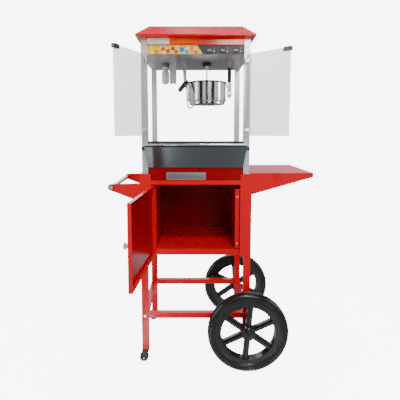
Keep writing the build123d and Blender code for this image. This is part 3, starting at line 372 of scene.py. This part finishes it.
paint = {
    "red": redPaint(),
    "cabinetRedPaintedShade": redPaint("cabinetRedPaintedShade", shaded="cabinet"),
    "doorRedPaintedShade": redPaint("doorRedPaintedShade", shaded="leaf"),
    # painted shade: the machine base under the trough gets a darker red
    "baseRedPaintedShade": redPaint("baseRedPaintedShade", (0.22, 0.0, 0.0015), (0.28, 0.0, 0.002)),
    "steel": brushedSteel("brushedSteel", (0.60, 0.61, 0.62), 0.22),
    "ceilingSteel": brushedSteel("ceilingSteel", (0.58, 0.58, 0.59), 0.34, (60, 1, 1)),
    "troughSteel": brushedSteel("troughSteel", (0.085, 0.098, 0.106), 0.17, (1, 60, 60), 0.2, 0.9),
    "drawerSteel": brushedSteel("drawerSteel", (0.34, 0.35, 0.35), 0.34, (1, 60, 60)),
    "postSteel": brushedSteel("postAluminium", (0.86, 0.87, 0.88), 0.26, (60, 60, 1)),
    "zinc": brushedSteel("brightZinc", (0.72, 0.73, 0.75), 0.2, (8, 8, 8)),
    "brass": brushedSteel("warmSteel", (0.74, 0.60, 0.48), 0.2, (8, 8, 8)),
    "polished": polishedSteel(),
    "black": mouldedPlastic("blackPlastic", (0.006, 0.006, 0.0065), 0.28),
    "rim": mouldedPlastic("rimPlastic", (0.006, 0.006, 0.0065), 0.18, 300, 0.06, 0.1),
    "tyre": tyreRubber(),
    # painted shade: the door sill is painted near-black
    "sill": mouldedPlastic("sillPaintedShade", (0.03, 0.035, 0.038), 0.3),
    "clear": clearGlass("clearGlass", (0.95, 0.97, 0.97), 0.03, 0.03, 0.02),
    "doorGlass": clearGlass("doorGlass", (0.50, 0.515, 0.51), 0.50, 0.12, 0.06),
    "band": bandAcrylic(),
    "bulb": frostedBulb(),
    "motor": mouldedPlastic("motorEnamel", (0.10, 0.105, 0.11), 0.4),
    "panel": mouldedPlastic("panelBlack", (0.010, 0.010, 0.011), 0.25),
    "paper": floorPaper(),
    "print": stripPrint(),
    "clips": clipFinish(),
    "plate": mouldedPlastic("creamPlate", (0.90, 0.84, 0.70), 0.3, 180, 0.05),
    "mark": mouldedPlastic("whiteInk", (0.72, 0.72, 0.70), 0.4, 300, 0.05),
    "bandDark": mouldedPlastic("bandEdge", (0.30, 0.004, 0.003), 0.2, 200, 0.05),
    "lip": brushedSteel("lipSteel", (0.88, 0.89, 0.90), 0.12, (1, 60, 60), 0.5),
    "drawerPanel": brushedSteel("drawerPanel", (0.26, 0.265, 0.27), 0.30, (1, 60, 60)),
    "darkSteel": brushedSteel("darkSteel", (0.07, 0.068, 0.065), 0.25, (8, 8, 8)),
    "socket": mouldedPlastic("socketResin", (0.16, 0.12, 0.09), 0.35),
}
floor.data.materials.append(paint["paper"])
wall.data.materials.append(paint["paper"])

finishOf = {
    "red": "frame_legs lower_rails cabinet_floor side_shelf handle_brackets roof_canopy",
    "doorRedPaintedShade": "cabinet_door",
    "cabinetRedPaintedShade": "cabinet_shell cabinet_deck side_liners",
    "baseRedPaintedShade": "machine_base",
    "steel": "base_rails popping_floor left_hanger lamp_guard kettle_base",
    "brass": "right_hanger",
    "ceilingSteel": "top_housing",
    "troughSteel": "serving_trough",
    "drawerSteel": "crumb_drawer",
    "postSteel": "corner_posts",
    "zinc": "cart_bolts wheel_axle cabinet_hinges glass_hinges door_pull",
    "polished": "kettle_pot kettle_yoke front_lid rear_lid stirrer handle_rod push_bar",
    "black": "leg_plugs trough_knobs switch_bezels left_rocker middle_rocker right_rocker hanger_sleeve "
             "handle_grip drive_coupling front_caster_fork rear_caster_fork "
             "front_caster_wheel rear_caster_wheel",
    "clips": "left_clips right_clips",
    "rim": "front_rim rear_rim",
    "tyre": "front_tyre rear_tyre",
    "sill": "door_sill",
    "clear": "chamber_panes",
    "doorGlass": "left_glass right_glass",
    "band": "light_band",
    "bulb": "lamp_bulb",
    "motor": "drive_motor",
    "panel": "control_panel",
}
for key, names in finishOf.items():
    for name in names.split():
        mesh = nodes[name].data
        mesh.materials.clear()
        mesh.materials.append(paint[key])
print("materials are on", sum(len(names.split()) for names in finishOf.values()), "parts")


# a new primitive, with its place and turn taken into the mesh
def begin(kind, name, **settings):
    deselectAll()
    getattr(bpy.ops.mesh, "primitive_" + kind + "_add")(**settings)
    piece = bpy.context.object
    piece.name = name
    piece.data.name = name
    bpy.ops.object.transform_apply(location=True, rotation=True, scale=True)
    return piece


# edit mode with only the edges or corners whose middle passes the test
def choose(piece, test, kind):
    bpy.context.view_layer.objects.active = piece
    bpy.ops.object.mode_set(mode="EDIT")
    bpy.ops.mesh.select_mode(type={"edges": "EDGE", "verts": "VERT"}[kind])
    bpy.ops.mesh.select_all(action="DESELECT")
    mesh = bmesh.from_edit_mesh(piece.data)
    for item in getattr(mesh, kind):
        middle = item.co if kind == "verts" else sum((v.co for v in item.verts), Vector()) / len(item.verts)
        item.select_set(bool(test(middle, item)))
    mesh.select_flush_mode()
    bmesh.update_edit_mesh(piece.data)


# out of edit mode, outward normals, shading, material and the body it rides on
def settle(piece, finish, body, smooth=35):
    bpy.context.view_layer.objects.active = piece
    bpy.ops.object.mode_set(mode="EDIT")
    bpy.ops.mesh.select_all(action="SELECT")
    bpy.ops.mesh.normals_make_consistent(inside=False)
    bpy.ops.object.mode_set(mode="OBJECT")
    deselectAll()
    piece.select_set(True)
    bpy.context.view_layer.objects.active = piece
    bpy.ops.object.shade_smooth_by_angle(angle=math.radians(smooth))
    piece.data.materials.clear()
    piece.data.materials.append(paint[finish])
    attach(piece, body)
    return piece


# a bevelled plate or bar between two corners, in millimetres
def plate(name, low, high, finish, body, round=0.4, segments=2):
    a, b = place(*low), place(*high)
    piece = begin("cube", name, size=1, location=(a + b) / 2, scale=b - a)
    choose(piece, lambda middle, edge: True, "edges")
    bpy.ops.mesh.bevel(offset=round * mm, segments=segments, profile=0.6)
    return settle(piece, finish, body)


# a ring or turned solid: a closed outline of (radius, along) in millimetres, spun about the axis
def lathe(name, profile, centre, axis, finish, body, steps=64, smooth=35):
    piece = begin("circle", name, vertices=len(profile), radius=0.01)
    middle = place(*centre)
    way = Vector(axis).normalized()
    out = way.orthogonal().normalized()
    for corner, (radius, along) in zip(piece.data.vertices, profile):
        corner.co = middle + out * radius * mm + way * along * mm
    choose(piece, lambda where, corner: True, "verts")
    bpy.ops.mesh.spin(steps=steps, angle=2 * math.pi, center=middle, axis=way)
    bpy.ops.mesh.select_all(action="SELECT")
    bpy.ops.mesh.remove_doubles(threshold=0.00001)
    return settle(piece, finish, body, smooth)


# a copy with its own mesh, moved by millimetres
def copyOf(piece, name, shift, body):
    twin = piece.copy()
    twin.data = piece.data.copy()
    twin.name = name
    twin.data.name = name
    for corner in twin.data.vertices:
        corner.co += Vector(shift) * mm
    bpy.context.scene.collection.objects.link(twin)
    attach(twin, body)
    return twin


# wheels: ribbed tyres, rim beads, window rings and hub caps
wheel = {"x": 231, "z": 178.5, "front": -50, "rear": 443, "steps": 120}
tyre = {
    "half": [(146, 18.5), (149.5, 21.6), (152, 22.3), (154, 22.5), (155, 21.2), (157, 21.0), (158, 22.4),
             (162, 22.4), (163, 21.0), (164.5, 20.9), (165.5, 22.0), (169, 21.2), (172.5, 19.2),
             (175, 16.4), (176.6, 13.6), (176.9, 11.9), (176.0, 11.4), (176.1, 10.4), (177.4, 9.9),
             (178.3, 7.2), (178.5, 3.4), (177.5, 2.9), (177.5, 1.0)],
    "smooth": 28,
}
rimRings = {
    "RimBead": [(139.5, 18.6), (140.6, 20.2), (143.2, 21.6), (146.2, 21.4), (146.8, 18.2)],
    "WindowRing": [(120.6, 7.6), (120.0, 10.0), (121.4, 12.4), (124.0, 12.8), (125.6, 11.0), (125.8, 7.6)],
}
hubCap = {
    "front": [(0, 31.0), (0, 37.2), (6.5, 37.2), (8.5, 36.6), (9.2, 35.2), (12.5, 34.9), (19.5, 34.7),
              (22.4, 33.2), (23.6, 30.6), (24.4, 26.0), (27.8, 24.2), (29.0, 22.4), (29.0, 21.0),
              (23.0, 21.0), (20.5, 31.0)],
    "rear": [(22.9, 34.2), (24.4, 33.4), (25.4, 30.0), (27.8, 24.2), (29.0, 22.4), (29.0, 21.0),
             (22.9, 21.0)],  # a ring: the rear hub ends at the cart's own outline
}
for end, outward in (("front", -1), ("rear", 1)):
    body = end + "_wheel"
    centre = (wheel["x"], wheel[end], wheel["z"])
    outline = tyre["half"] + [(radius, -along) for radius, along in reversed(tyre["half"])]
    ribbed = lathe(end + "Tyre", outline, centre, alongY, "tyre", body, wheel["steps"], tyre["smooth"])
    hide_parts(end + "_tyre")
    for kind, half in rimRings.items():
        for face in (-1, 1):
            ring = [(radius, along * face) for radius, along in half]
            name = end + kind + ("In" if face == -outward else "Out")
            lathe(name, ring, centre, alongY, "rim", body, wheel["steps"], 40)
    lathe(end + "HubCap", hubCap[end], centre, (0, outward, 0), "rim", body, 72, 30)
print("wheels are dressed")

# front of the machine: printed strip, blank plate, switch marks, band trims
printStrip = {"low": (-209, -0.9, 1391.5), "high": (30, -0.1, 1429.5), "slant": -24, "round": 0.15}
low, high = place(*printStrip["low"]), place(*printStrip["high"])
middle = (low + high) / 2
strip = begin("cube", "printedStrip", size=1, location=middle, scale=high - low)
choose(strip, lambda spot, corner: spot.x > middle.x and spot.z > middle.z, "verts")
bpy.ops.transform.translate(value=(printStrip["slant"] * mm, 0, 0))
choose(strip, lambda spot, edge: True, "edges")
bpy.ops.mesh.bevel(offset=printStrip["round"] * mm, segments=1)
settle(strip, "print", "root")

blankPlate = {"low": (-206, -4.4, 1431.5), "high": (-112, -2.9, 1458.5), "round": 0.5}
plate("blankPlate", blankPlate["low"], blankPlate["high"], "plate", "root", blankPlate["round"])

switchMarks = {
    "spots": (("left", 59), ("middle", 116), ("right", 172.5)),
    "ring": [(2.0, 0), (3.1, 0), (3.1, 0.35), (2.0, 0.35)],
    "across": 19.5, "ringZ": 1404, "barLow": (18.9, -0.35, 1414), "barHigh": (20.1, 0.1, 1420),
}
for name, x in switchMarks["spots"]:
    centre = (x + switchMarks["across"], 0, switchMarks["ringZ"])
    lathe(name + "OffMark", switchMarks["ring"], centre, (0, -1, 0), "mark", "root", 24)
    low = Vector((x, 0, 0)) + Vector(switchMarks["barLow"])
    high = Vector((x, 0, 0)) + Vector(switchMarks["barHigh"])
    plate(name + "OnMark", low, high, "mark", "root", 0.1, 1)

bandTrim = {"half": 209, "front": -3.6, "back": -0.2, "Low": (1429.4, 1431.0), "High": (1458.8, 1460.2)}
for name in ("Low", "High"):
    low, high = bandTrim[name]
    plate("bandTrim" + name, (-bandTrim["half"], bandTrim["front"], low),
          (bandTrim["half"], bandTrim["back"], high), "bandDark", "root", 0.3)

# screws: one is turned for each way they face, the rest are copies
screw = {
    "outline": [(0, -0.5), (0, 2.3), (0.9, 2.3), (1.0, 1.3), (1.5, 1.3), (1.6, 2.15), (2.8, 1.7),
                (3.6, 0.8), (3.8, 0), (3.8, -0.5)],
    "frontX": 214, "frontZ": (1420, 1400, 1060, 1040, 895),
    "sideX": 235.5, "sideY": (14, 379), "sideZ": (1440, 1405, 893),
    "rearX": 221, "rearY": 393,
    "hingeX": -213, "hingeY": -3.5, "hingeZ": (561, 783), "hingeRise": (-10, 10),
}
sides = (-1, 1)
spots = {
    "postFront": ((0, -1, 0), [(side * screw["frontX"], 0, z) for side in sides for z in screw["frontZ"]]),
    "postLeft": ((-1, 0, 0), [(-screw["sideX"], y, z) for y in screw["sideY"] for z in screw["sideZ"]]),
    "postRight": ((1, 0, 0), [(screw["sideX"], y, z) for y in screw["sideY"] for z in screw["sideZ"]]),
    "postRear": (alongY, [(side * screw["rearX"], screw["rearY"], z) for side in sides for z in screw["sideZ"]]),
    "hinge": ((0, -1, 0), [(screw["hingeX"], screw["hingeY"], z + rise)
                           for z in screw["hingeZ"] for rise in screw["hingeRise"]]),
}
for kind, (way, places) in spots.items():
    first = lathe(kind + "Screw1", screw["outline"], places[0], way, "zinc", "root", 16, 30)
    for number, where in enumerate(places[1:], 2):
        copyOf(first, f"{kind}Screw{number}", Vector(where) - Vector(places[0]), "root")
print("strip, plate, marks and screws are on")

# bars and flat pieces: corners, finish, body, rounding and its segments
bars = {
    "troughLip": ((-217.4, -57.6, 1003.5), (217.4, -50.2, 1010.0), "lip", "root", 2.4, 4),
    "drawerPlate": ((-124, 0.3, 853.5), (40, 1.6, 878.5), "drawerPanel", "drawer", 0.5, 2),
}
for name, settings in bars.items():
    plate(name, *settings)

# turned pieces on upright axes: outline, centre, finish, body, steps and smoothing
kettleAt = (54, 190, 0)
turned = {
    "lampSocket": ([(14.2, 0), (17.0, 0.4), (17.4, 2.4), (17.4, 12), (19.4, 13.2), (19.6, 15.6), (14.2, 15.6)],
                   (-148, 215, 1375), "socket", "root", 48, 35),
    "lampSeam": ([(18.05, 0), (18.5, 0.8), (18.5, 2.2), (18.05, 3.0)], (-148, 215, 1350), "zinc", "root", 48, 35),
    "rodWasher": ([(4.05, 0), (8.6, 0), (9.2, -0.8), (9.2, -1.8), (4.05, -1.8)],
                  (163, 190, 1391), "zinc", "root", 40, 35),
    "spindleCollar": ([(20.1, 0), (21.6, -0.6), (21.8, -3.4), (20.1, -4)],
                      (54, 190, 1387), "black", "coupling", 48, 35),
    "kettleRim": ([(92.2, 1290.6), (95.7, 1290.9), (96.3, 1293), (96.0, 1295.8), (94.4, 1296.9), (92.2, 1296.4)],
                  kettleAt, "darkSteel", "kettle", 96, 40),
    "kettleSeam": ([(93.3, 1216.0), (94.1, 1216.6), (94.1, 1218.6), (93.3, 1219.2)],
                   kettleAt, "polished", "kettle", 96, 40),
    "kettleFoot": ([(83.6, 1192), (86.0, 1192.6), (86.4, 1196), (86.0, 1203), (83.6, 1203.6)],
                   kettleAt, "polished", "kettle", 96, 40),
}
for name, (outline, centre, finish, body, steps, smooth) in turned.items():
    lathe(name, outline, centre, (0, 0, 1), finish, body, steps, smooth)

# dump handle's grip: each piece's distance along it, outline, finish and steps
grip = {"top": (-45, 145, 1294), "way": (-34, -42, -50)}
gripPieces = {
    "gripFerrule": (-4, [(8.1, 0), (8.9, 0.5), (8.9, 5.5), (8.1, 6)], "polished", 40),
    "gripStripe": (24, [(9.0, 0), (11.2, 0.4), (11.2, 3.6), (9.0, 4)], "polished", 40),
    "gripEnd": (60, [(8.02, 0), (8.5, 0.6), (8.5, 4.4), (8.02, 5)], "polished", 40),
    "gripSleeve": (11, [(8.03, 0), (9.6, 0.8), (10.6, 3), (10.8, 16), (10.2, 26), (10.8, 36), (10.4, 46),
                        (8.6, 49), (8.03, 49)], "black", 48),
}
gripWay = Vector(grip["way"]).normalized()
for name, (along, outline, finish, steps) in gripPieces.items():
    lathe(name, outline, Vector(grip["top"]) + gripWay * along, gripWay, finish, "kettle", steps)

# casters: pin heads, treads and collars
caster = {
    "x": -239, "z": 20, "front": 15, "rear": 378, "fork": 17,
    "pin": [(0, -0.5), (0, 1.2), (2.2, 1.2), (3.6, 0.7), (4.2, -0.5)],
    "tread": [(18.2, -9.4), (20.0, -8.0), (20.0, -3), (19.4, -2.2), (19.4, 2.2), (20.0, 3), (20.0, 8.0),
              (18.2, 9.4)],
    "collar": [(13.2, 0), (15.4, 0.6), (15.8, 3.0), (15.4, 5.4), (13.2, 6)],
    "collarX": -231, "collarZ": 80.6,
}
for end in ("front", "rear"):
    body = end + "_caster"
    y = caster[end]
    for side, face in (("Near", -1), ("Far", 1)):
        centre = (caster["x"], y + face * caster["fork"], caster["z"])
        lathe(f"{end}CasterPin{side}", caster["pin"], centre, (0, face, 0), "zinc", body, 32, 30)
    centre = (caster["x"], y, caster["z"])
    lathe(end + "CasterTread", caster["tread"], centre, alongY, "tyre", end + "_caster_wheel", 64, 30)
    centre = (caster["collarX"], y + 1, caster["collarZ"])
    lathe(end + "LegCollar", caster["collar"], centre, (0, 0, -1), "black", body, 48, 30)

# tyre valves and push-bar caps
valve = {
    "outline": [(0, 0), (0, 24), (2.6, 24), (3.0, 23), (3.0, 15), (2.4, 14.5), (2.4, 8), (3.8, 6), (4.2, 0)],
    "across": 101, "up": 96, "out": 14, "way": (-0.72, 0, -0.69),
}
for end, outward in (("front", -1), ("rear", 1)):
    centre = (wheel["x"] + valve["across"], wheel[end] + outward * valve["out"], wheel["z"] + valve["up"])
    lathe(end + "Valve", valve["outline"], centre, valve["way"], "black", end + "_wheel", 24, 30)
barCap = {
    "outline": [(10.05, 0), (12.2, 0.5), (12.6, 3.5), (12.0, 8.5), (10.05, 9)],
    "x": -374, "z": 816, "ends": (("Front", 2.0, 1), ("Rear", 391.0, -1)),
}
for end, y, way in barCap["ends"]:
    lathe("barCap" + end, barCap["outline"], (barCap["x"], y, barCap["z"]), (0, way, 0), "black", "root", 48, 30)
print("machine details are on")
